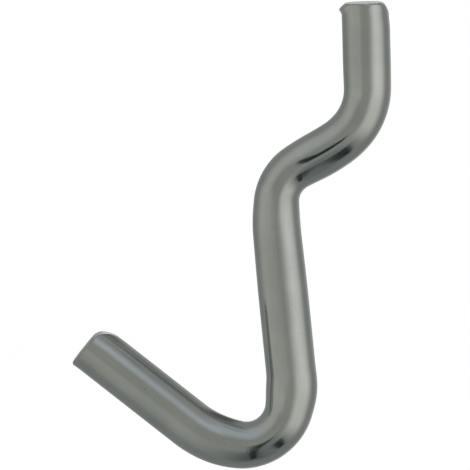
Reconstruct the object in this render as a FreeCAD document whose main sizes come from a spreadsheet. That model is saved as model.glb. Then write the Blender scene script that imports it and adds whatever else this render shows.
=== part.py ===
import FreeCAD, Part
import math
import os

import Sketcher
from FreeCAD import Vector

# Pegboard hook: one round steel wire, sheared at both ends and bent in one plane. Millimetres.
# The bends lie in the XZ plane and +Z is up. The board stands on the +X side of the shank, and the
# arm reaches out towards -X. The origin is on the wire's centreline, where the peg ends and the
# first bend starts.

# Driving sizes. Turns are in degrees, and a bend's radius is that of the wire's centreline.
SIZES = {
    "wire_diameter": 5.0,
    "peg_length": 8.7,
    "shoulder_turn": 60.5,
    "shoulder_radius": 6.6,
    "neck_length": 4.65,
    "elbow_turn": 56.5,
    "elbow_radius": 4.5,
    "spring_turn": 8.3,
    "spring_radius": 25.7,
    "shank_length": 14.0,
    "heel_turn": 18.4,
    "heel_radius": 12.2,
    "crook_turn": 85.9,
    "crook_radius": 4.7,
    "rise_turn": 29.7,
    "rise_radius": 10.6,
    "arm_length": 13.45,
    "roll_turn": 55.0,
    "peg_roll_radius": 0.75,
    "peg_draw_radius": 2.7,
    "arm_roll_radius": 1.35,
    "arm_draw_radius": 3.3,
    "shear_overrun": 0.05,
}

# The centreline from the peg's end to the arm's tip. The spring is the slight bow that the elbow's
# bend leaves in the wire, and the heel and the rise are the slow bends either side of the crook.
# A straight names its length. A bend names its turn and its radius, and turns the walk down the
# wire to its left or to its right.
STRAIGHT, LEFT, RIGHT = 0, 1, -1
STRETCHES = [
    ("peg", STRAIGHT),
    ("shoulder", RIGHT),
    ("neck", STRAIGHT),
    ("elbow", LEFT),
    ("spring", LEFT),
    ("shank", STRAIGHT),
    ("heel", RIGHT),
    ("crook", RIGHT),
    ("rise", RIGHT),
    ("arm", STRAIGHT),
]

# The numbers that a sketch gives an edge's points, and its own two axes and first outside edge.
START, END, CENTRE = range(1, 4)
FIRST_AXIS, SECOND_AXIS, OUTSIDE_EDGE = range(-1, -4, -1)
SKETCH_ORIGIN = (FIRST_AXIS, START)

UP = math.pi / 2
DOWN = -math.pi / 2
NORMAL = Vector(0, 0, 1)


def make_sheet(doc):
    """The spreadsheet that holds the driving sizes, one alias to a row."""
    sheet = doc.addObject("Spreadsheet::Sheet", "sizes")
    for row, (name, value) in enumerate(SIZES.items(), start=1):
        sheet.set(f"A{row}", name)
        sheet.set(f"B{row}", str(value))
        sheet.setAlias(f"B{row}", name)
    doc.recompute()


def add_sketch(body, name, role):
    """An empty sketch on one of the body's own origin planes."""
    plane = next(item for item in body.Origin.OriginFeatures if item.Role == role)
    sketch = body.newObject("Sketcher::SketchObject", name)
    sketch.AttachmentSupport = [(plane, "")]
    sketch.MapMode = "FlatFace"
    return sketch


def bind(sketch, name, constraint, formula):
    """Adds a named dimension to a sketch and ties it to a formula of the sheet's sizes."""
    index = sketch.addConstraint(constraint)
    sketch.renameConstraint(index, name)
    sketch.setExpression(f"Constraints.{name}", formula)


def pointing(angle):
    """The unit vector at an angle from the sketch's first axis."""
    return Vector(math.cos(angle), math.sin(angle), 0)


def draw_straight(sketch, name, start, heading):
    """A straight stretch of the centreline. Returns its edge, its end points and where it leads."""
    length = SIZES[f"{name}_length"]
    end = start + pointing(heading) * length
    edge = sketch.addGeometry(Part.LineSegment(start, end), False)
    bind(sketch, f"{name}_length", Sketcher.Constraint("Distance", edge, length), f"sizes.{name}_length")
    return edge, START, END, end, heading


def draw_arc(sketch, start, heading, side, radius, turn):
    """An arc that leaves a point along a heading. Returns its edge, its end points and where it leads."""
    centre = start + pointing(heading + side * UP) * radius
    begin = heading - side * UP
    finish = begin + side * turn
    circle = Part.Circle(centre, NORMAL, radius)
    edge = sketch.addGeometry(Part.ArcOfCircle(circle, min(begin, finish), max(begin, finish)), False)
    first, last = (START, END) if side == LEFT else (END, START)
    return edge, first, last, centre + pointing(finish) * radius, heading + side * turn


def draw_bend(sketch, name, side, start, heading):
    """A bend of the centreline, with its radius and turn tied to the sheet."""
    radius = SIZES[f"{name}_radius"]
    turn = math.radians(SIZES[f"{name}_turn"])
    drawn = draw_arc(sketch, start, heading, side, radius, turn)
    edge = drawn[0]
    bind(sketch, f"{name}_radius", Sketcher.Constraint("Radius", edge, radius), f"sizes.{name}_radius")
    bind(sketch, f"{name}_turn", Sketcher.Constraint("Angle", edge, turn), f"sizes.{name}_turn * 1 deg")
    return drawn


def draw_centreline(body):
    """The wire's path. Returns its sketch, and where the arm's tip is and which way it points."""
    sketch = add_sketch(body, "centreline", "XZ_Plane")
    point = Vector(0, SIZES["peg_length"], 0)
    heading = DOWN
    previous = None
    for name, side in STRETCHES:
        if side == STRAIGHT:
            edge, first, last, point, heading = draw_straight(sketch, name, point, heading)
        else:
            edge, first, last, point, heading = draw_bend(sketch, name, side, point, heading)
        if previous is None:
            sketch.addConstraint(Sketcher.Constraint("Vertical", edge))
            sketch.addConstraint(Sketcher.Constraint("Coincident", edge, last, *SKETCH_ORIGIN))
        else:
            sketch.addConstraint(Sketcher.Constraint("Tangent", *previous, edge, first))
        previous = (edge, last)
    return sketch, point, heading


def draw_section(body):
    """The wire's round section, at the peg's end."""
    sketch = add_sketch(body, "section", "XY_Plane")
    sketch.setExpression("AttachmentOffset.Base.z", "sizes.peg_length")
    diameter = SIZES["wire_diameter"]
    edge = sketch.addGeometry(Part.Circle(Vector(0, 0, 0), NORMAL, diameter / 2), False)
    sketch.addConstraint(Sketcher.Constraint("Coincident", edge, CENTRE, *SKETCH_ORIGIN))
    bind(sketch, "wire_diameter", Sketcher.Constraint("Diameter", edge, diameter), "sizes.wire_diameter")
    return sketch


def draw_shear(body, name, centreline, stretch, vertex, tip, outward):
    """The outline of what a shear takes off one end of the wire, in the plane of the bends.

    The blade meets the wire on one side and draws that edge down into a round, tight at the cut
    face and slower along the wire. The far edge stays sharp. The outline is open space all round,
    and it just clears the wire's side where the round runs out.
    """
    radius = SIZES["wire_diameter"] / 2
    side_reach = radius + SIZES["shear_overrun"]
    margin = SIZES["wire_diameter"]
    roll_radius = SIZES[f"{name}_roll_radius"]
    draw_radius = SIZES[f"{name}_draw_radius"]
    roll_turn = math.radians(SIZES["roll_turn"])
    roll_width = roll_radius * math.sin(roll_turn) + draw_radius * (1 - math.sin(roll_turn))
    out = pointing(outward)
    across = pointing(outward + DOWN)

    sketch = add_sketch(body, f"{name}_shear", "XZ_Plane")
    sketch.addExternal(centreline.Name, f"Edge{stretch}")
    wire_line = OUTSIDE_EDGE

    sharp_edge = tip - across * margin
    round_start = tip + across * (side_reach - roll_width)
    face = sketch.addGeometry(Part.LineSegment(sharp_edge, round_start), False)
    roll, roll_first, roll_last, point, heading = draw_arc(
        sketch, round_start, outward + DOWN, RIGHT, roll_radius, roll_turn)
    draw, draw_first, draw_last, point, heading = draw_arc(
        sketch, point, heading, RIGHT, draw_radius, UP - roll_turn)
    clear = point + across * margin
    far_corner = clear + out * (margin + (tip - point).dot(out))
    near_corner = sharp_edge + out * margin
    step = sketch.addGeometry(Part.LineSegment(point, clear), False)
    round_wall = sketch.addGeometry(Part.LineSegment(clear, far_corner), False)
    outer_wall = sketch.addGeometry(Part.LineSegment(far_corner, near_corner), False)
    sharp_wall = sketch.addGeometry(Part.LineSegment(near_corner, sharp_edge), False)

    sketch.addConstraint([
        Sketcher.Constraint("Tangent", face, END, roll, roll_first),
        Sketcher.Constraint("Tangent", roll, roll_last, draw, draw_first),
        Sketcher.Constraint("Perpendicular", draw, draw_last, step, START),
        Sketcher.Constraint("Coincident", step, END, round_wall, START),
        Sketcher.Constraint("Coincident", round_wall, END, outer_wall, START),
        Sketcher.Constraint("Coincident", outer_wall, END, sharp_wall, START),
        Sketcher.Constraint("Coincident", sharp_wall, END, face, START),
        Sketcher.Constraint("Perpendicular", face, wire_line),
        Sketcher.Constraint("Parallel", step, face),
        Sketcher.Constraint("Parallel", outer_wall, face),
        Sketcher.Constraint("Parallel", round_wall, wire_line),
        Sketcher.Constraint("Parallel", sharp_wall, wire_line),
        Sketcher.Constraint("PointOnObject", wire_line, vertex, face),
    ])
    bind(sketch, "roll_radius", Sketcher.Constraint("Radius", roll, roll_radius), f"sizes.{name}_roll_radius")
    bind(sketch, "draw_radius", Sketcher.Constraint("Radius", draw, draw_radius), f"sizes.{name}_draw_radius")
    bind(sketch, "roll_turn", Sketcher.Constraint("Angle", roll, roll_turn), "sizes.roll_turn * 1 deg")
    bind(sketch, "side_reach", Sketcher.Constraint("Distance", draw, draw_last, wire_line, side_reach),
         "sizes.wire_diameter / 2 + sizes.shear_overrun")
    bind(sketch, "sharp_reach", Sketcher.Constraint("Distance", wire_line, vertex, face, START, margin),
         "sizes.wire_diameter")
    bind(sketch, "step_length", Sketcher.Constraint("Distance", step, margin), "sizes.wire_diameter")
    bind(sketch, "end_margin", Sketcher.Constraint("Distance", sharp_wall, margin), "sizes.wire_diameter")
    return sketch


def cut_end(body, name, sketch):
    """Takes the sheared outline off through the whole wire, and says how much went."""
    whole = body.Shape.Volume
    pocket = body.newObject("PartDesign::Pocket", f"{name}_end")
    pocket.Profile = sketch
    pocket.Type = "ThroughAll"
    pocket.Midplane = True
    body.Document.recompute()
    removed = whole - body.Shape.Volume
    if removed <= 0:
        raise RuntimeError(f"the {name}'s end is not trimmed")
    print(f"{name} end: {removed:.3f} mm3 removed")


def check(doc, body):
    """Stops if anything in the document failed, or the body is not one valid solid."""
    for item in doc.Objects:
        if "Invalid" in item.State or "Error" in item.State:
            raise RuntimeError(f"{item.Name} is {item.State}")
    if body.Shape.isNull() or not body.Shape.isValid() or len(body.Shape.Solids) != 1:
        raise RuntimeError(f"{body.Label} is not one valid solid")


doc = FreeCAD.newDocument("pegboard_hook")
make_sheet(doc)
hook = doc.addObject("PartDesign::Body", "hook")
hook.Label = "wire_hook"

# The bent wire.
centreline, arm_tip, arm_heading = draw_centreline(hook)
wire = hook.newObject("PartDesign::AdditivePipe", "wire")
wire.Profile = draw_section(hook)
wire.Spine = (centreline, [])
doc.recompute()
section_area = math.pi * (SIZES["wire_diameter"] / 2) ** 2
print(f"centreline: {centreline.Shape.Length:.3f} mm long")
print(f"wire: {wire.Shape.Volume:.3f} mm3, section times length {section_area * centreline.Shape.Length:.3f} mm3")

# The sheared ends. The peg's round faces away from the board, and the arm's faces up.
peg_tip = Vector(0, SIZES["peg_length"], 0)
peg_shear = draw_shear(hook, "peg", centreline, 1, START, peg_tip, UP)
cut_end(hook, "peg", peg_shear)
arm_shear = draw_shear(hook, "arm", centreline, len(STRETCHES), END, arm_tip, arm_heading)
cut_end(hook, "arm", arm_shear)

check(doc, hook)
os.makedirs("parts", exist_ok=True)
hook.Shape.exportStep(f"parts/{hook.Label}.step")
box = hook.Shape.BoundBox
print(f"{hook.Label}: {hook.Shape.Volume:.3f} mm3, {box.XLength:.3f} x {box.YLength:.3f} x {box.ZLength:.3f} mm")
print(f"X {box.XMin:.3f} to {box.XMax:.3f}, Z {box.ZMin:.3f} to {box.ZMax:.3f}")
print(f"arm's tip at X {arm_tip.x:.3f}, Z {arm_tip.y:.3f}, pointing {math.degrees(arm_heading) % 360:.2f} degrees")
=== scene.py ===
# %% [markdown]
# # A pegboard hook of bright plated wire
# The hook is one length of round steel wire, cut off by a shear at both ends, bent in one plane and
# then plated. It has a peg that goes up behind the board, a slanted neck that passes through the hole,
# a shank, a tight crook and a rising arm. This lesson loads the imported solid, sweeps a finer wire along
# the same route, gives both ends their sheared form, finishes the metal, and lights it so that the
# wire shows soft bands along its length.

import math

import bpy
import numpy as np
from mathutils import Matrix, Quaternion, Vector


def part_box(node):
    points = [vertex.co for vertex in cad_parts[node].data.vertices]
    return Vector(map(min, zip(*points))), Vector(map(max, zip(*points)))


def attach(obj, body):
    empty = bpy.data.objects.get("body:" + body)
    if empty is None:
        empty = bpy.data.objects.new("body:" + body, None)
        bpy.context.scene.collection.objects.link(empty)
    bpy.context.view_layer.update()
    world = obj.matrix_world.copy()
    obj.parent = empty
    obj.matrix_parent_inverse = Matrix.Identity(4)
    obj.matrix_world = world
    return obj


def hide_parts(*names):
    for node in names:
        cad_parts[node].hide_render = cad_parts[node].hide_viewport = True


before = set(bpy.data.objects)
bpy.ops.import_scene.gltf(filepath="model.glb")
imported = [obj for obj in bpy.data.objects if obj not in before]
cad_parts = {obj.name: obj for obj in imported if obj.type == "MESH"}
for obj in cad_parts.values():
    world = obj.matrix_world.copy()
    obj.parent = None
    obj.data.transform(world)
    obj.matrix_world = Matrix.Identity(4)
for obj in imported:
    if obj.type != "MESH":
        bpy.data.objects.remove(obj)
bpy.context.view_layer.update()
node_low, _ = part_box("wire_hook")

# %% [markdown]
# ## The route of the wire
# A wire former makes straights and arcs that run into each other with no kink, so the centreline is a
# walk: go straight for a length, or turn on a radius. The sizes are the same as the solid's. The walk
# starts at the free end of the peg and turns to the left or right of the way it is going. The first
# bend starts at the origin, and every bend lies in the XZ plane.

# %% The wire's sizes
MM = 0.001
WIRE_RADIUS = 2.5 * MM
PEG_LENGTH = 8.7 * MM
ARM_LENGTH = 13.45 * MM
LEFT, RIGHT = 1, -1
STRAIGHTS = {"peg": PEG_LENGTH, "neck": 4.65 * MM, "shank": 14.0 * MM, "arm": ARM_LENGTH}
BENDS = {
    "shoulder": (RIGHT, 6.6 * MM, 60.5),
    "elbow": (LEFT, 4.5 * MM, 56.5),
    "spring": (LEFT, 25.7 * MM, 8.3),
    "heel": (RIGHT, 12.2 * MM, 18.4),
    "crook": (RIGHT, 4.7 * MM, 85.9),
    "rise": (RIGHT, 10.6 * MM, 29.7),
}
ORDER = ["peg", "shoulder", "neck", "elbow", "spring", "shank", "heel", "crook", "rise", "arm"]
RING_GAP = 0.18 * MM


def pointing(angle):
    """The unit vector in the XZ plane at an angle from +X towards +Z."""
    return np.array([math.cos(angle), 0.0, math.sin(angle)])


def walk_wire():
    """Ring centres, the direction of travel at each, the length so far, and where each stretch lies."""
    place, heading, travelled = pointing(math.pi / 2) * PEG_LENGTH, -math.pi / 2, 0.0
    centres, headings, lengths, spans = [place], [heading], [0.0], {}
    for name in ORDER:
        side, radius, turn = BENDS.get(name, (0, 0, 0))
        length = STRAIGHTS[name] if name in STRAIGHTS else radius * math.radians(turn)
        steps = round(length / RING_GAP)
        for step in range(1, steps + 1):
            gone = length * step / steps
            if side:
                ahead = heading + side * gone / radius
                middle = place + radius * pointing(heading + side * math.pi / 2)
                centre = middle + radius * pointing(ahead - side * math.pi / 2)
            else:
                ahead = heading
                centre = place + gone * pointing(heading)
            centres.append(centre)
            headings.append(ahead)
            lengths.append(travelled + gone)
        spans[name] = (travelled, travelled + length)
        place, heading, travelled = centres[-1], headings[-1], travelled + length
    return np.array(centres), np.array(headings), np.array(lengths), spans


centres, headings, lengths, spans = walk_wire()
print(f"wire: {len(centres)} rings, {1000 * lengths[-1]:.2f} mm along the centreline")
print("arm's tip, mm:", [round(1000 * value, 2) for value in centres[-1]])

# %% [markdown]
# ## The neck's slight bow
# A straight between two tight bends that turn opposite ways seldom comes off the pins quite straight.
# The neck here bows by less than a tenth of a millimetre. That is too little to see in its outline, but a
# shiny wire shows it, because the reflections along the neck curve with it.

# %% Bow the neck
BOW_RISE = 0.090 * MM
BOW_PLACE = spans["neck"][0] + 1.33 * MM
BOW_REACH = 3.0 * MM


def smooth(value):
    """Eases a number from 0 to 1."""
    value = np.clip(value, 0, 1)
    return value * value * (3 - 2 * value)


def hump(middle, half):
    """A smooth hump over the rings: one at a place along the wire, and nothing beyond its half width."""
    distance = np.clip(np.abs(lengths - middle) / half, 0, 1)
    return np.cos(distance * math.pi / 2) ** 2


bow = BOW_RISE * hump(BOW_PLACE, BOW_REACH)
centres += bow[:, None] * np.array([pointing(heading + math.pi / 2) for heading in headings])
headings += np.arctan(np.gradient(bow, lengths))
tangents = np.array([pointing(heading) for heading in headings])
outsides = np.array([pointing(heading + math.pi / 2) for heading in headings])
steepest = np.abs(np.gradient(bow, lengths)).max()
print(f"the neck's line turns by up to {math.degrees(math.atan(steepest)):.1f} degrees")

# %% [markdown]
# ## Where the bends press the wire
# A wire that is folded round a pin goes slightly oval: it is squeezed between the pin and the
# bending finger, and it spreads a little to both sides. Each tight bend here is three to nine percent
# narrower in the plane of the bend, and the metal swells slightly just before the crook. The upper half
# is also a little thinner than the lower half, and one runs into the other down the shank. One number
# for each ring holds all that, and the sweep uses it.

# %% How far each ring is pressed
PRESSED = {"shoulder": 0.028, "elbow": 0.078, "crook": 0.088}
SWOLLEN = {"heel": 0.034}
PRESS_REACH = 1.2
SWELL_REACH = 0.2
THINNER_ABOVE = 0.012
THICKER_BELOW = 0.032

change_start, change_end = spans["spring"][0], sum(spans["shank"]) / 2
below = smooth((lengths - change_start) / (change_end - change_start))
press = THINNER_ABOVE - (THINNER_ABOVE + THICKER_BELOW) * below
for name, depth in PRESSED.items():
    start, end = spans[name]
    press += depth * hump((start + end) / 2, (end - start) / 2 + PRESS_REACH * WIRE_RADIUS)
for name, swell in SWOLLEN.items():
    start, end = spans[name]
    press -= swell * hump((start + end) / 2, (end - start) / 2 + SWELL_REACH * WIRE_RADIUS)
print(f"the wire is {100 * press.max():.1f} percent narrower at most, {-100 * press.min():.1f} wider at most")

# %% [markdown]
# ## Sweep the wire with Geometry Nodes
# The wire follows a rule, one ring swept along one route, so a node tree makes it. The route comes in
# as a chain of vertices that carry their own values: which way the outside of the bend lies, how far
# the ring is pressed, and the length so far. The tree turns the chain into a curve, sweeps a circle
# along it, and squeezes each ring. It also stores a vector called grain on the skin. That vector
# goes once round the circle and along the wire, so a pattern that reads it runs lengthwise with no
# seam.


# %% Small helpers for node trees
def add_node(tree, kind, inputs=(), **settings):
    """A new node with its settings, and with each named or numbered input set or linked."""
    node = tree.nodes.new(kind)
    for setting, value in settings.items():
        setattr(node, setting, value)
    for key, value in dict(inputs).items():
        if isinstance(value, bpy.types.NodeSocket):
            tree.links.new(value, node.inputs[key])
        else:
            node.inputs[key].default_value = value
    return node


def vector_math(tree, operation, first, second=None, scale=None):
    """The result of a vector operation, as the socket that holds it."""
    inputs = {0: first}
    if second is not None:
        inputs[1] = second
    if scale is not None:
        inputs["Scale"] = scale
    node = add_node(tree, "ShaderNodeVectorMath", inputs, operation=operation)
    return node.outputs["Value" if operation in ("DOT_PRODUCT", "LENGTH") else "Vector"]


def number_math(tree, operation, *values):
    """The result of an operation on numbers, as the socket that holds it."""
    node = add_node(tree, "ShaderNodeMath", dict(enumerate(values)), operation=operation)
    return node.outputs[0]


# %% The sweep
SIDEWAYS = (0.0, 1.0, 0.0)
SKIN_MATERIAL = bpy.data.materials.new("bright_plated_wire")


def sweep_tree():
    """The node tree that draws the wire along a chain of vertices."""
    tree = bpy.data.node_groups.new("drawn_wire", "GeometryNodeTree")
    for name, kind in [("Geometry", "Geometry"), ("Wire Radius", "Float"), ("Points Around", "Int"),
                       ("Spread", "Float")]:
        tree.interface.new_socket(name, in_out="INPUT", socket_type=f"NodeSocket{kind}")
    tree.interface.new_socket("Geometry", in_out="OUTPUT", socket_type="NodeSocketGeometry")
    given = add_node(tree, "NodeGroupInput").outputs

    def stored(name, data_type):
        """A value that each point of the route carries."""
        node = add_node(tree, "GeometryNodeInputNamedAttribute", {"Name": name}, data_type=data_type)
        return node.outputs[0]

    outside = stored("outside", "FLOAT_VECTOR")
    middle = stored("middle", "FLOAT_VECTOR")
    pressed = stored("press", "FLOAT")
    along = stored("along", "FLOAT")

    curve = add_node(tree, "GeometryNodeMeshToCurve", {"Mesh": given["Geometry"]})
    turned = add_node(tree, "GeometryNodeSetCurveNormal", {"Curve": curve.outputs[0], "Normal": outside},
                      mode="FREE")
    ring = add_node(tree, "GeometryNodeCurvePrimitiveCircle",
                    {"Resolution": given["Points Around"], "Radius": given["Wire Radius"]})
    swept = add_node(tree, "GeometryNodeCurveToMesh",
                     {"Curve": turned.outputs[0], "Profile Curve": ring.outputs[0]})

    place = add_node(tree, "GeometryNodeInputPosition").outputs[0]
    offset = vector_math(tree, "SUBTRACT", place, middle)
    out_part = vector_math(tree, "DOT_PRODUCT", offset, outside)
    side_part = vector_math(tree, "DOT_PRODUCT", offset, SIDEWAYS)
    narrowed = number_math(tree, "MULTIPLY", out_part, number_math(tree, "SUBTRACT", 1.0, pressed))
    spread = number_math(tree, "MULTIPLY_ADD", pressed, given["Spread"], 1.0)
    widened = number_math(tree, "MULTIPLY", side_part, spread)
    new_place = vector_math(tree, "ADD", middle, vector_math(tree, "SCALE", outside, scale=narrowed))
    new_place = vector_math(tree, "ADD", new_place, vector_math(tree, "SCALE", SIDEWAYS, scale=widened))

    grain = add_node(tree, "ShaderNodeCombineXYZ", {
        "X": number_math(tree, "DIVIDE", out_part, given["Wire Radius"]),
        "Y": number_math(tree, "DIVIDE", side_part, given["Wire Radius"]),
        "Z": along}).outputs[0]
    grained = add_node(tree, "GeometryNodeStoreNamedAttribute",
                       {"Geometry": swept.outputs[0], "Name": "grain", "Value": grain},
                       data_type="FLOAT_VECTOR", domain="POINT")
    squeezed = add_node(tree, "GeometryNodeSetPosition",
                        {"Geometry": grained.outputs[0], "Position": new_place})
    real = add_node(tree, "GeometryNodeRealizeInstances", {"Geometry": squeezed.outputs[0]})
    dressed = add_node(tree, "GeometryNodeSetMaterial",
                       {"Geometry": real.outputs[0], "Material": SKIN_MATERIAL})
    add_node(tree, "NodeGroupOutput", {"Geometry": dressed.outputs[0]})
    return tree


drawn_wire = sweep_tree()
print("sweep:", len(drawn_wire.nodes), "nodes")


# %% Run the sweep and keep a plain mesh
POINTS_AROUND = 96
SPREAD = 0.25


def route_object():
    """The chain of ring centres, with the values that the sweep reads at each one."""
    mesh = bpy.data.meshes.new("wire_route")
    mesh.from_pydata(centres.tolist(), [(ring, ring + 1) for ring in range(len(centres) - 1)], [])
    for name, kind, field, values in [("outside", "FLOAT_VECTOR", "vector", outsides),
                                      ("middle", "FLOAT_VECTOR", "vector", centres),
                                      ("press", "FLOAT", "value", press),
                                      ("along", "FLOAT", "value", lengths)]:
        mesh.attributes.new(name, kind, "POINT").data.foreach_set(field, np.ravel(values))
    chain = bpy.data.objects.new("wire_route", mesh)
    bpy.context.scene.collection.objects.link(chain)
    return chain


def swept_wire():
    """The swept skin as arrays, one row to a ring: its points and its grain."""
    chain = route_object()
    modifier = chain.modifiers.new("drawn_wire", "NODES")
    modifier.node_group = drawn_wire
    inputs = [item for item in drawn_wire.interface.items_tree if item.in_out == "INPUT"]
    sockets = {item.name: item.identifier for item in inputs}
    modifier[sockets["Wire Radius"]] = WIRE_RADIUS
    modifier[sockets["Points Around"]] = POINTS_AROUND
    modifier[sockets["Spread"]] = SPREAD
    evaluated = chain.evaluated_get(bpy.context.evaluated_depsgraph_get())
    mesh = bpy.data.meshes.new_from_object(evaluated)
    points = np.empty(3 * len(mesh.vertices))
    mesh.vertices.foreach_get("co", points)
    grain = np.empty(3 * len(mesh.vertices))
    mesh.attributes["grain"].data.foreach_get("vector", grain)
    chain.modifiers.remove(modifier)
    bpy.data.objects.remove(chain)
    shape = (len(centres), POINTS_AROUND, 3)
    return points.reshape(shape), grain.reshape(shape)


skin, grain = swept_wire()
print(f"skin: {skin.shape[0]} rings of {skin.shape[1]} points")
print(f"ring order holds: {np.allclose(grain[:, 0, 2], lengths, atol=1e-6)}")

# %% [markdown]
# ## The sheared ends
# A shear doesn't saw a wire, it pushes through it. The blade rolls the edge down on the side where it
# enters, breaks through, and drags a thin burr out on the far side. The solid has the rolled edge. The
# skin here gets the whole of it: its last rings are let down to the rolled edge, the far side gets a
# broken corner with a burr, and a cap of rings closes the face. Both ends are made by one function from
# a few sizes, because they were cut by the same tool. The arm was cut slightly off square.

# %% Sizes of the sheared ends
# The roll is a small arc that turns this far, then a longer and flatter one, the draw. Together they end
# a little outside the wire's side.
ROLL_TURN = math.radians(55.0)
SHEAR_OVERRUN = 0.05 * MM
# How much wire behind the cut is let down to it, how wide the line is where the torn face turns into the
# smooth roll, and how fast the wire is drawn in towards its rolled side.
END_REACH = 6.0 * MM
ROLL_FADE = 0.45 * MM
DRAW_IN_POWER = 1.5
# The size of the broken corner, the drop, inset and tail that it has where the burr is full, and how
# high a full burr is.
EDGE_BREAK = 0.22 * MM
BURR_DROP = 0.62 * MM
BURR_INSET = 0.40 * MM
BURR_TAIL = 0.34 * MM
FULL_BURR = 0.2 * MM
# Where the burr starts on its side of the wire and how fast it grows, as shares of the radius, and the
# waves in its edge: the height, count and start of each.
BURR_START = 0.72
BURR_SPREAD = 0.24
BURR_WAVES = [(0.22, 7, 0.6), (0.12, 19, 2.0)]
# The rings over the rim, how many of them still carry the smooth skin, and the rings across the face.
# The powers say how the rings crowd together.
RIM_STEPS = 10
SMOOTH_RIM_STEPS = 2
CAP_RINGS = 22
TORN_RIM_POWER = 0.85
CAP_POWER = 1.25
ENDS = {
    "peg": {"rolled": 1, "roll": 0.75 * MM, "draw": 2.7 * MM, "slant": 0.0, "draw_in": 0.17 * MM,
            "draw_reach": 2.9 * MM, "burr": 0.21 * MM},
    "arm": {"rolled": -1, "roll": 1.35 * MM, "draw": 3.3 * MM, "slant": 1.5, "draw_in": 0.08 * MM,
            "draw_reach": 3.4 * MM, "burr": 0.03 * MM},
}


def roll_start(end):
    """How far across the face, towards the rolled side, the torn face turns into the smooth roll."""
    sine = math.sin(ROLL_TURN)
    return WIRE_RADIUS + SHEAR_OVERRUN - end["roll"] * sine - end["draw"] * (1 - sine)


def face_depth(across, end):
    """How far the cut face lies below the end of the wire, at a distance across towards the rolled side."""
    sine = math.sin(ROLL_TURN)
    roll_width = end["roll"] * sine
    start = roll_start(end)
    roll_sine = np.clip((across - start) / end["roll"], 0, sine)
    draw_sine = np.clip(sine + (across - start - roll_width) / end["draw"], sine, 1)
    rolled = end["roll"] * (1 - np.sqrt(1 - roll_sine ** 2))
    drawn = end["draw"] * (math.cos(ROLL_TURN) - np.sqrt(1 - draw_sine ** 2))
    slanted = math.tan(math.radians(end["slant"])) * (across + WIRE_RADIUS)
    return rolled + drawn + slanted


for name, end in ENDS.items():
    print(f"{name}: the roll starts {1000 * roll_start(end):.2f} mm from the middle of the face")


# %% Shape one end
def shape_end(skin, grain, end, tip, outward, outside, pressed):
    """Lets the last rings down to the cut, and returns what closes it, from the rim inwards.

    The skin and its grain come with the ring at the tip first. What comes back is the closing rings, how
    rough the face is at each of their points, and the middle of the face.
    """
    across_way = outside * end["rolled"] * (1 - pressed)
    side_way = np.array(SIDEWAYS) * (1 + SPREAD * pressed)
    round_x = grain[0, :, 0] * end["rolled"]
    round_y = grain[0, :, 1]
    rolled_side = np.clip(round_x, 0, 1) ** DRAW_IN_POWER
    burr_side = smooth((-round_x - BURR_START) / BURR_SPREAD)
    ragged = 1 + sum(height * np.sin(count * round_y + start) for height, count, start in BURR_WAVES)
    burr = end["burr"] * burr_side * ragged
    torn = burr_side * min(end["burr"] / FULL_BURR, 1.0)
    drop = EDGE_BREAK + (BURR_DROP - EDGE_BREAK) * torn
    inset = EDGE_BREAK + (BURR_INSET - EDGE_BREAK) * torn
    rim_depth = face_depth(WIRE_RADIUS * round_x, end)

    def place(radial, depth):
        """Points at a distance from the wire's axis and a depth below its end."""
        flat = np.outer(radial * round_x, across_way) + np.outer(radial * round_y, side_way)
        return tip + flat - np.outer(depth, outward)

    def rolled_over(radial):
        """How much of the smooth roll there is at points at a distance from the wire's axis."""
        return smooth((radial * round_x - roll_start(end)) / ROLL_FADE)

    top = rim_depth + drop
    for ring in range(len(skin)):
        below = np.dot(tip - skin[ring].mean(axis=0), outward)
        if below >= END_REACH:
            break
        depth = top + below * (1 - top / END_REACH)
        past_top = depth - top
        drawn_in = end["draw_in"] * rolled_side * smooth(1 - depth / end["draw_reach"])
        lip = burr * np.exp(-(past_top / BURR_TAIL) ** 2)
        skin[ring] = place(WIRE_RADIUS - drawn_in + lip, depth)

    drawn_in = end["draw_in"] * rolled_side * smooth(1 - top / end["draw_reach"])
    rim_radius = WIRE_RADIUS - drawn_in + burr
    face_radius = WIRE_RADIUS - drawn_in - inset
    rings, rough = [], []
    for step in range(1, RIM_STEPS + 1):
        part = step / RIM_STEPS
        eased = (1 - torn) * (1 - math.cos(part * math.pi / 2)) + torn * part
        lifted = (1 - torn) * math.sin(part * math.pi / 2) + torn * part ** TORN_RIM_POWER
        radial = rim_radius + (face_radius - rim_radius) * eased
        surface = face_depth(np.minimum(radial, WIRE_RADIUS) * round_x, end)
        rings.append(place(radial, surface + drop * (1 - lifted)))
        rough.append((1 - rolled_over(radial)) * (step > SMOOTH_RIM_STEPS))
    for step in range(1, CAP_RINGS):
        part = (1 - step / CAP_RINGS) ** CAP_POWER
        radial = face_radius * part
        rings.append(place(radial, face_depth(radial * round_x, end)))
        rough.append(1 - rolled_over(radial))
    hub = tip - outward * face_depth(0.0, end)
    return rings, rough, hub


# %% Shape both ends
peg_rings, peg_rough, peg_hub = shape_end(skin, grain, ENDS["peg"], centres[0], -tangents[0], outsides[0],
                                          press[0])
arm_skin, arm_grain = skin[::-1], grain[::-1]
arm_rings, arm_rough, arm_hub = shape_end(arm_skin, arm_grain, ENDS["arm"], centres[-1], tangents[-1],
                                          outsides[-1], press[-1])
print(f"caps: {len(peg_rings)} rings each")

# %% [markdown]
# ## Close the wire into one mesh
# The rings now run without a break from the middle of the peg's face, over its rim, down the whole
# wire and over the arm's rim to the middle of that face. Joining each ring to the next with quads,
# and fanning the two hubs, gives one closed skin. Each point also keeps its grain and two values for the
# finish. Cut is one where the metal tore, and bend grows with how strongly the ring is pressed. The
# rolled edge keeps its drawn skin.


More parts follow.
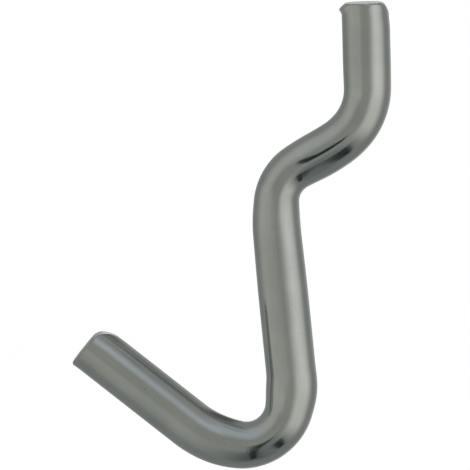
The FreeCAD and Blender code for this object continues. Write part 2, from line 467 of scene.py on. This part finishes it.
# %% Build the piece
def closed_wire():
    """The finished wire as one object at the origin, with its grain, cut and bend attributes."""
    rings = peg_rings[::-1] + list(skin) + arm_rings
    count = POINTS_AROUND
    points = np.vstack([peg_hub[None, :], *rings, arm_hub[None, :]])
    last = len(points) - 1
    faces = []
    for around in range(count):
        beside = (around + 1) % count
        faces.append((0, 1 + beside, 1 + around))
        for ring in range(len(rings) - 1):
            here = 1 + ring * count
            faces.append((here + around, here + beside, here + count + beside, here + count + around))
        tail = 1 + (len(rings) - 1) * count
        faces.append((tail + around, tail + beside, last))

    first_grain = np.repeat(grain[:1], len(peg_rings), axis=0)
    last_grain = np.repeat(grain[-1:], len(arm_rings), axis=0)
    all_grain = np.vstack([np.zeros((1, 3)), np.vstack([first_grain, grain, last_grain]).reshape(-1, 3),
                           [[0, 0, lengths[-1]]]])
    cut = np.vstack([peg_rough[::-1], np.zeros((len(skin), count)), arm_rough])
    all_cut = np.concatenate([[1], cut.ravel(), [1]])
    bend = np.zeros((len(rings), count))
    bend[len(peg_rings):len(peg_rings) + len(skin)] = np.clip(press, 0, None)[:, None]
    all_bend = np.concatenate([[0], bend.ravel() / press.max(), [0]])

    mesh = bpy.data.meshes.new("wire")
    mesh.from_pydata(points.tolist(), [], faces)
    mesh.attributes.new("grain", "FLOAT_VECTOR", "POINT").data.foreach_set("vector", np.ravel(all_grain))
    mesh.attributes.new("cut", "FLOAT", "POINT").data.foreach_set("value", all_cut)
    mesh.attributes.new("bend", "FLOAT", "POINT").data.foreach_set("value", all_bend)
    mesh.materials.append(SKIN_MATERIAL)
    mesh.polygons.foreach_set("use_smooth", np.ones(len(faces), dtype=bool))
    mesh.update()
    wire = bpy.data.objects.new("bent_wire", mesh)
    bpy.context.scene.collection.objects.link(wire)
    return wire


wire = closed_wire()


def signed_volume(mesh):
    """The volume inside a closed mesh, negative if its faces point inwards."""
    mesh.calc_loop_triangles()
    corners = np.empty(3 * len(mesh.loop_triangles), dtype=np.int32)
    mesh.loop_triangles.foreach_get("vertices", corners)
    points = np.empty(3 * len(mesh.vertices))
    mesh.vertices.foreach_get("co", points)
    triangles = points.reshape(-1, 3)[corners.reshape(-1, 3)]
    return np.einsum("ij,ij->i", triangles[:, 0], np.cross(triangles[:, 1], triangles[:, 2])).sum() / 6


volume = signed_volume(wire.data)
if volume < 0:
    wire.data.flip_normals()
print(f"wire: {len(wire.data.loop_triangles)} triangles, {abs(volume) / MM ** 3:.1f} mm3")
print("its faces had to be turned over:", volume < 0)

# %% [markdown]
# ## The plated finish
# The wire is drawn through a die before it is bent, and a thin bright coat of zinc goes on last. So
# the finish is a metal with a soft gloss. Fine lines run lengthwise, the coat has faint cloudy patches
# and small pits, and it is a little duller where a bend was pressed. The sheared faces were
# coated too, but they are rough with the marks of the blade. The lines read the grain, so they follow
# the wire through each bend.

# %% Colours and gloss of the finish
BRIGHT_ZINC = (0.492, 0.498, 0.468, 1)
GREY_ZINC = (0.446, 0.458, 0.434, 1)
SHEARED_STEEL = (0.330, 0.325, 0.305, 1)
# The dark colour that the pits are darkened towards.
PIT_DARK = (0.120, 0.118, 0.105, 1)
# The roughness of the skin, from line to line, of the pressed bends and of the sheared faces.
SKIN_GLOSS = (0.11, 0.15)
BEND_GLOSS = 0.16
SHEARED_GLOSS = 0.26
# How much the lines, the pits and the torn metal tilt the surface, and how deep they are.
LINE_BUMP = 0.008
PIT_BUMP = 0.25
TEAR_BUMP = 0.3
SKIN_DEPTH = 0.02 * MM
TEAR_DEPTH = 0.05 * MM
# Each pattern's scale, its stretch, its detail and its roughness. The two kinds of lines read the grain,
# which counts in the wire's radius across the wire and in metres along it. The others count in metres.
PATTERNS = {
    "wide lines": (9.0, (1, 1, 18), 4.0, 0.6),
    "fine lines": (46.0, (1, 1, 22), 3.0, 0.6),
    "clouds": (260.0, (1, 1, 1), 4.0, 0.55),
    "specks": (4200.0, (1, 1, 1), 1.0, 0.5),
    "blade marks": (900.0, (1, 7, 1), 5.0, 0.65),
    "torn metal": (1500.0, (1, 1, 1), 6.0, 0.7),
}
# The part of each pattern's range that shows, how strongly the streaks, pits and bends do, and how high
# the wide lines stand beside the fine ones.
CLOUD_RANGE = (0.38, 0.66)
STREAK_RANGE = (0.35, 0.70)
LINE_RANGE = (0.3, 0.7)
PIT_RANGE = (0.70, 0.78)
TORN_RANGE = (0.40, 0.62)
STREAK_AMOUNT = 0.35
PIT_AMOUNT = 0.35
BEND_AMOUNT = 0.5
WIDE_LINE_HEIGHT = 0.6


def mix_colour(tree, amount, first, second):
    """A blend of two colours."""
    node = add_node(tree, "ShaderNodeMix", {0: amount, 6: first, 7: second}, data_type="RGBA")
    return node.outputs[2]


def mix_number(tree, amount, first, second):
    """A blend of two numbers."""
    node = add_node(tree, "ShaderNodeMix", {0: amount, 2: first, 3: second}, data_type="FLOAT")
    return node.outputs[0]


def stretch_range(tree, value, low, high, new_low=0.0, new_high=1.0):
    """A value eased from one range to another."""
    node = add_node(tree, "ShaderNodeMapRange", {0: value, 1: low, 2: high, 3: new_low, 4: new_high},
                    interpolation_type="SMOOTHSTEP")
    return node.outputs[0]


def pattern(tree, place, name):
    """The noise of one of the patterns, over places that are first stretched."""
    scale, stretch, detail, roughness = PATTERNS[name]
    mapped = add_node(tree, "ShaderNodeMapping", {"Vector": place, "Scale": stretch})
    node = add_node(tree, "ShaderNodeTexNoise", {
        "Vector": mapped.outputs[0], "Scale": scale, "Detail": detail, "Roughness": roughness})
    return node.outputs["Fac"]


def bump(tree, strength, depth, height, surface=None):
    """The surface's direction, tilted by a height and laid over an earlier bump."""
    inputs = {"Strength": strength, "Distance": depth, "Height": height}
    if surface is not None:
        inputs["Normal"] = surface
    return add_node(tree, "ShaderNodeBump", inputs).outputs[0]


print("patterns:", ", ".join(PATTERNS))


# %% The plated wire's material
def finish_wire(material):
    """Bright zinc over drawn steel, with duller sheared faces."""
    material.use_nodes = True
    tree = material.node_tree
    tree.nodes.clear()
    grain_way = add_node(tree, "ShaderNodeAttribute", attribute_name="grain").outputs["Vector"]
    cut = add_node(tree, "ShaderNodeAttribute", attribute_name="cut").outputs["Fac"]
    bend = add_node(tree, "ShaderNodeAttribute", attribute_name="bend").outputs["Fac"]
    place = add_node(tree, "ShaderNodeTexCoord").outputs["Object"]

    wide_lines = pattern(tree, grain_way, "wide lines")
    fine_lines = pattern(tree, grain_way, "fine lines")
    clouds = pattern(tree, place, "clouds")
    specks = pattern(tree, place, "specks")
    blade_marks = pattern(tree, place, "blade marks")
    torn = pattern(tree, place, "torn metal")

    zinc = mix_colour(tree, stretch_range(tree, clouds, *CLOUD_RANGE), GREY_ZINC, BRIGHT_ZINC)
    streaks = number_math(tree, "MULTIPLY", stretch_range(tree, wide_lines, *STREAK_RANGE), STREAK_AMOUNT)
    zinc = mix_colour(tree, streaks, zinc, GREY_ZINC)
    pits = stretch_range(tree, specks, *PIT_RANGE, 0.0, PIT_AMOUNT)
    # The pits are darkened towards that dark colour.
    zinc = mix_colour(tree, pits, zinc, PIT_DARK)
    face = mix_colour(tree, stretch_range(tree, torn, *TORN_RANGE), SHEARED_STEEL, BRIGHT_ZINC)
    colour = mix_colour(tree, cut, zinc, face)

    gloss = mix_number(tree, stretch_range(tree, fine_lines, *LINE_RANGE), *SKIN_GLOSS)
    gloss = mix_number(tree, number_math(tree, "MULTIPLY", bend, BEND_AMOUNT), gloss, BEND_GLOSS)
    gloss = mix_number(tree, cut, gloss, SHEARED_GLOSS)

    wide_height = number_math(tree, "MULTIPLY", wide_lines, WIDE_LINE_HEIGHT)
    surface = bump(tree, LINE_BUMP, SKIN_DEPTH, number_math(tree, "ADD", fine_lines, wide_height))
    surface = bump(tree, PIT_BUMP, SKIN_DEPTH, number_math(tree, "MULTIPLY", pits, -1.0), surface)
    tear_height = number_math(tree, "MULTIPLY", number_math(tree, "ADD", blade_marks, torn), cut)
    surface = bump(tree, TEAR_BUMP, TEAR_DEPTH, tear_height, surface)

    shader = add_node(tree, "ShaderNodeBsdfPrincipled", {
        "Metallic": 1.0, "Base Color": colour, "Roughness": gloss, "Normal": surface})
    add_node(tree, "ShaderNodeOutputMaterial", {"Surface": shader.outputs[0]})


finish_wire(SKIN_MATERIAL)
print("finish:", SKIN_MATERIAL.name, len(SKIN_MATERIAL.node_tree.nodes), "nodes")

# %% [markdown]
# ## The camera
# The camera looks square at the plane of the bends, from a little above, so the whole outline
# shows, and with it a sliver of each sheared face. A long lens a metre away keeps the wire the same
# width all along. The picture is 470 pixels square, and the hook fills it from top to bottom.

# %% Place the camera
PICTURE_WIDTH = 48.48 * MM
AIM = Vector((-14.039, 0.0, -14.968)) * MM
CAMERA_DISTANCE = 1.0
CAMERA_AZIMUTH = 0.0
CAMERA_ELEVATION = 5.0
CAMERA_ROLL = -1.49


def towards_camera(azimuth, elevation):
    """The unit vector from the hook to a camera at an azimuth and an elevation."""
    turn, lift = math.radians(azimuth), math.radians(elevation)
    return Vector((math.sin(turn) * math.cos(lift), -math.cos(turn) * math.cos(lift), math.sin(lift)))


lens = bpy.data.cameras.new("camera")
lens.lens = lens.sensor_width * CAMERA_DISTANCE / PICTURE_WIDTH
camera = bpy.data.objects.new("camera", lens)
bpy.context.scene.collection.objects.link(camera)
bpy.context.scene.camera = camera
sight = towards_camera(CAMERA_AZIMUTH, CAMERA_ELEVATION)
camera.rotation_mode = "QUATERNION"
camera.location = AIM + sight * CAMERA_DISTANCE


def turned_towards(direction):
    """The camera's turn if it looks against a direction, with its roll."""
    upright = (-direction).to_track_quat("-Z", "Y")
    return upright @ Quaternion((0, 0, 1), math.radians(CAMERA_ROLL))


camera.rotation_quaternion = turned_towards(sight)
print(f"camera: {lens.lens:.0f} mm lens")

# %% [markdown]
# ## The studio
# A shiny wire has almost no look of its own: it shows what stands round it. Here the world is plain
# white, and grey veils hang round the hook so that most of it is shaded. The white shows through two
# windows. The one on the right makes the bright band along the wire, with a softer glow just below it,
# and a small one straight behind lights the cut face of the peg. A wall on the left and a ceiling are
# over half as bright as the white, and the ground is darker. The veils are one large sphere whose colour
# depends on the direction, seen only in reflections, so they neither light the floor nor hide the view.
# The front of an upright wire mirrors what lies as far below the level as the camera is above it, so the
# studio's middle is there, and all its angles are counted from that middle.

# %% Directions in the studio
VEIL_RADIUS = 1.0
VEIL_SEGMENTS, VEIL_RINGS = 64, 32
mirrored_sight = towards_camera(-CAMERA_AZIMUTH, -CAMERA_ELEVATION)
studio_turn = turned_towards(mirrored_sight)
BACK_VEIL = (0.352, 0.369, 0.364, 1)
# Each patch is a band away from the middle (where it starts, is full, stops being full and ends), a
# band round that middle from the right (its middle, half width and soft edge), all in degrees, and its
# colour. The windows have the same two bands. A later patch lies over the ones before it.
PATCHES = [
    ("middle", (-2, -1, 12, 50), (0, 180, 1), (0.410, 0.425, 0.398, 1)),
    ("left wall", (30, 64, 78, 122), (136, 30, 26), (0.598, 0.604, 0.580, 1)),
    ("near wall", (18, 37, 74, 118), (186, 12, 14), (0.585, 0.592, 0.565, 1)),
    ("ceiling", (24, 56, 60, 112), (88, 10, 42), (0.584, 0.626, 0.688, 1)),
    ("ceiling edge", (22, 43, 48, 68), (58, 6, 12), (0.620, 0.672, 0.734, 1)),
    ("low left", (4, 20, 28, 92), (-144, 20, 26), (0.483, 0.504, 0.478, 1)),
    ("far ground", (60, 92, 120, 150), (-85, 34, 20), (0.300, 0.324, 0.326, 1)),
    ("ground", (8, 46, 68, 94), (-80, 7, 26), (0.150, 0.174, 0.176, 1)),
    ("ground patch", (4, 12, 56, 92), (-60, 7, 9), (0.238, 0.275, 0.280, 1)),
    ("low glow", (0, 32, 62, 104), (-16, 10, 22), (0.860, 0.860, 0.835, 1)),
    ("far corner", (98, 124, 150, 172), (59, 5, 12), (0.140, 0.150, 0.150, 1)),
    ("back left", (112, 124, 150, 170), (180, 14, 14), (0.320, 0.335, 0.335, 1)),
    ("back right", (126, 142, 156, 172), (-20, 45, 35), (0.480, 0.490, 0.478, 1)),
]
WINDOW = ((15, 50, 50, 108), (17, 13, 18))
BACK_WINDOW = ((164, 171, 181, 182), (90, 60, 25))
print("the studio's middle:", [round(part, 3) for part in mirrored_sight])


# %% Hang the veils
def band(tree, value, start, full, full_end, end):
    """One between two values, easing to nothing over a soft edge on either side."""
    rising = stretch_range(tree, value, start, full)
    falling = stretch_range(tree, value, full_end, end, 1.0, 0.0)
    return number_math(tree, "MULTIPLY", rising, falling)


def band_round(tree, value, middle, half, soft):
    """One within half a width of a middle angle, however often the angle has gone round."""
    distance = number_math(tree, "PINGPONG", number_math(tree, "SUBTRACT", value, middle), 180.0)
    return stretch_range(tree, distance, half, half + soft, 1.0, 0.0)


def veil_material():
    """Light that depends on the direction from the hook, and windows where the white world shows."""
    material = bpy.data.materials.new("grey_veils")
    material.use_nodes = True
    tree = material.node_tree
    tree.nodes.clear()
    place = add_node(tree, "ShaderNodeTexCoord").outputs["Object"]
    parts = add_node(tree, "ShaderNodeSeparateXYZ", {0: vector_math(tree, "NORMALIZE", place)}).outputs
    away = number_math(tree, "DEGREES", number_math(tree, "ARCCOSINE", parts["Z"]))
    round_about = number_math(tree, "DEGREES", number_math(tree, "ARCTAN2", parts["Y"], parts["X"]))

    def patch(away_band, round_band):
        """One inside both of a patch's bands."""
        return number_math(tree, "MULTIPLY", band(tree, away, *away_band),
                           band_round(tree, round_about, *round_band))

    colour = BACK_VEIL
    for _, away_band, round_band, patch_colour in PATCHES:
        colour = mix_colour(tree, patch(away_band, round_band), colour, patch_colour)
    window = number_math(tree, "MAXIMUM", patch(*WINDOW), patch(*BACK_WINDOW))
    cloth = add_node(tree, "ShaderNodeEmission", {"Color": colour})
    opening = add_node(tree, "ShaderNodeBsdfTransparent")
    veil = add_node(tree, "ShaderNodeMixShader", {0: window, 1: cloth.outputs[0], 2: opening.outputs[0]})
    add_node(tree, "ShaderNodeOutputMaterial", {"Surface": veil.outputs[0]})
    material.cycles.emission_sampling = "NONE"
    return material


def only_reflected(piece):
    """Hides a piece of the studio from everything but reflections."""
    piece.visible_camera = False
    piece.visible_diffuse = False
    piece.visible_transmission = False
    piece.visible_shadow = False


bpy.ops.mesh.primitive_uv_sphere_add(segments=VEIL_SEGMENTS, ring_count=VEIL_RINGS, radius=VEIL_RADIUS,
                                     location=AIM)
veils = bpy.context.object
veils.name = "grey_veils"
veils.rotation_mode = "QUATERNION"
veils.rotation_quaternion = studio_turn
veils.data.materials.append(veil_material())
only_reflected(veils)
print("veils:", len(PATCHES), "patches and two windows")

# %% Hang the dark strips
# Three dark strips, like the legs of a stand, make the dark marks on the neck and the crook. Each hangs
# on a sphere round the middle of a stretch of wire, or round the picture's middle, at a distance. It is
# a list of points, in degrees to the right of and above the studio's middle, and its width at each.
STRIPS = [
    ("near_neck", "neck", 12 * MM, [(-20.5, 19, 4), (-14.5, 15, 6.5), (-9, 10.2, 10), (-4.4, 7, 12),
                                    (-0.6, 9.8, 13), (4.9, 11.3, 11), (8.9, 12.3, 8), (13.4, 12.6, 3)]),
    ("near_crook", "crook", 28 * MM, [(-2.2, 2.5, 5), (-1.3, -2, 7.5), (-0.9, -13, 6.5), (0, -25, 6.5),
                                      (1.4, -37, 7), (3.3, -50, 7), (4.6, -66, 8)]),
    ("far_leg", None, 900 * MM, [(19.3, -25.4, 7), (31.9, -43.2, 10.2), (42.9, -58.1, 9)]),
]
STRIP_COLOUR = (0.020, 0.027, 0.028, 1)


def direction(right, up):
    """The unit vector at so many degrees right of and above the studio's middle, in its own axes."""
    away = math.radians(math.hypot(right, up))
    round_about = math.atan2(up, right)
    across = math.sin(away)
    return Vector((across * math.cos(round_about), across * math.sin(round_about), math.cos(away)))


def hang_strip(name, stretch, distance, points, material):
    """A thin dark ribbon on a sphere, seen only in reflections."""
    corners = []
    for index, (right, up, width) in enumerate(points):
        before, after = points[max(index - 1, 0)], points[min(index + 1, len(points) - 1)]
        along = Vector((after[0] - before[0], after[1] - before[1])).normalized()
        for side in (-0.5, 0.5):
            corners.append(direction(right - side * width * along.y, up + side * width * along.x) * distance)
    faces = [(2 * index, 2 * index + 1, 2 * index + 3, 2 * index + 2) for index in range(len(points) - 1)]
    mesh = bpy.data.meshes.new(name)
    mesh.from_pydata(corners, [], faces)
    mesh.materials.append(material)
    strip = bpy.data.objects.new(name, mesh)
    bpy.context.scene.collection.objects.link(strip)
    strip.location = centres[np.searchsorted(lengths, sum(spans[stretch]) / 2)] if stretch else AIM
    strip.rotation_mode = "QUATERNION"
    strip.rotation_quaternion = studio_turn
    only_reflected(strip)


strip_paint = bpy.data.materials.new("dark_strip")
strip_paint.use_nodes = True
strip_paint.node_tree.nodes.clear()
strip_light = add_node(strip_paint.node_tree, "ShaderNodeEmission", {"Color": STRIP_COLOUR})
add_node(strip_paint.node_tree, "ShaderNodeOutputMaterial", {"Surface": strip_light.outputs[0]})
strip_paint.cycles.emission_sampling = "NONE"
for strip_values in STRIPS:
    hang_strip(*strip_values, strip_paint)
print("strips:", ", ".join(strip_values[0] for strip_values in STRIPS))

# %% [markdown]
# ## The floor, the world and the lamp
# The floor is a plain pale disc a little below the hook, and it fades to white at its rim so that it
# runs into the white world without an edge. The world lights everything at strength 1. One large soft
# lamp above adds just enough to leave a shadow of the hook on the floor. The floor is left out
# of the wire's reflections, where the veils stand for the ground.

# %% Floor, world and lamp
FLOOR_GAP = 15 * MM
FLOOR_RADIUS = 0.45
FLOOR_POINTS = 96
FADE_START = 0.25 * FLOOR_RADIUS
FADE_END = 0.9 * FLOOR_RADIUS
FLOOR_COLOUR = (0.90, 0.90, 0.90, 1)
WHITE = (1, 1, 1, 1)
LAMP_SIZE = 0.5
LAMP_POWER = 1.6
LAMP_PLACE = AIM + Vector((0.35, -0.30, 0.75))


def floor_material():
    """A pale floor whose rim fades to white."""
    material = bpy.data.materials.new("pale_floor")
    material.use_nodes = True
    tree = material.node_tree
    tree.nodes.clear()
    place = add_node(tree, "ShaderNodeTexCoord").outputs["Object"]
    outwards = vector_math(tree, "LENGTH", place)
    fade = stretch_range(tree, outwards, FADE_START, FADE_END)
    matt = add_node(tree, "ShaderNodeBsdfDiffuse", {"Color": FLOOR_COLOUR})
    white = add_node(tree, "ShaderNodeEmission", {"Color": WHITE})
    both = add_node(tree, "ShaderNodeMixShader", {0: fade, 1: matt.outputs[0], 2: white.outputs[0]})
    add_node(tree, "ShaderNodeOutputMaterial", {"Surface": both.outputs[0]})
    material.cycles.emission_sampling = "NONE"
    return material


bpy.ops.mesh.primitive_circle_add(vertices=FLOOR_POINTS, radius=FLOOR_RADIUS, fill_type="NGON",
                                  location=(AIM.x, 0, node_low.z - FLOOR_GAP))
floor = bpy.context.object
floor.name = "floor"
floor.data.materials.append(floor_material())
floor.visible_glossy = False

world = bpy.data.worlds.new("white_world")
world.use_nodes = True
world.node_tree.nodes["Background"].inputs["Color"].default_value = WHITE
world.node_tree.nodes["Background"].inputs["Strength"].default_value = 1.0
bpy.context.scene.world = world

lamp_data = bpy.data.lights.new("soft_lamp", "AREA")
lamp_data.shape = "DISK"
lamp_data.size = LAMP_SIZE
lamp_data.energy = LAMP_POWER
lamp = bpy.data.objects.new("soft_lamp", lamp_data)
bpy.context.scene.collection.objects.link(lamp)
lamp.location = LAMP_PLACE
lamp.rotation_mode = "QUATERNION"
lamp.rotation_quaternion = (AIM - LAMP_PLACE).to_track_quat("-Z", "Y")
lamp.visible_glossy = False
lamp.visible_camera = False
print(f"floor: {1000 * FLOOR_GAP:.0f} mm below the hook, lamp: {LAMP_POWER} W")

# %% [markdown]
# ## Tie the piece to the imported model
# The finished wire rides on the model's one body and stands for its one node, whose imported solid is hidden.

# %% Hand over
bpy.context.scene.view_settings.view_transform = "Standard"
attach(wire, "root")
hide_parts("wire_hook")
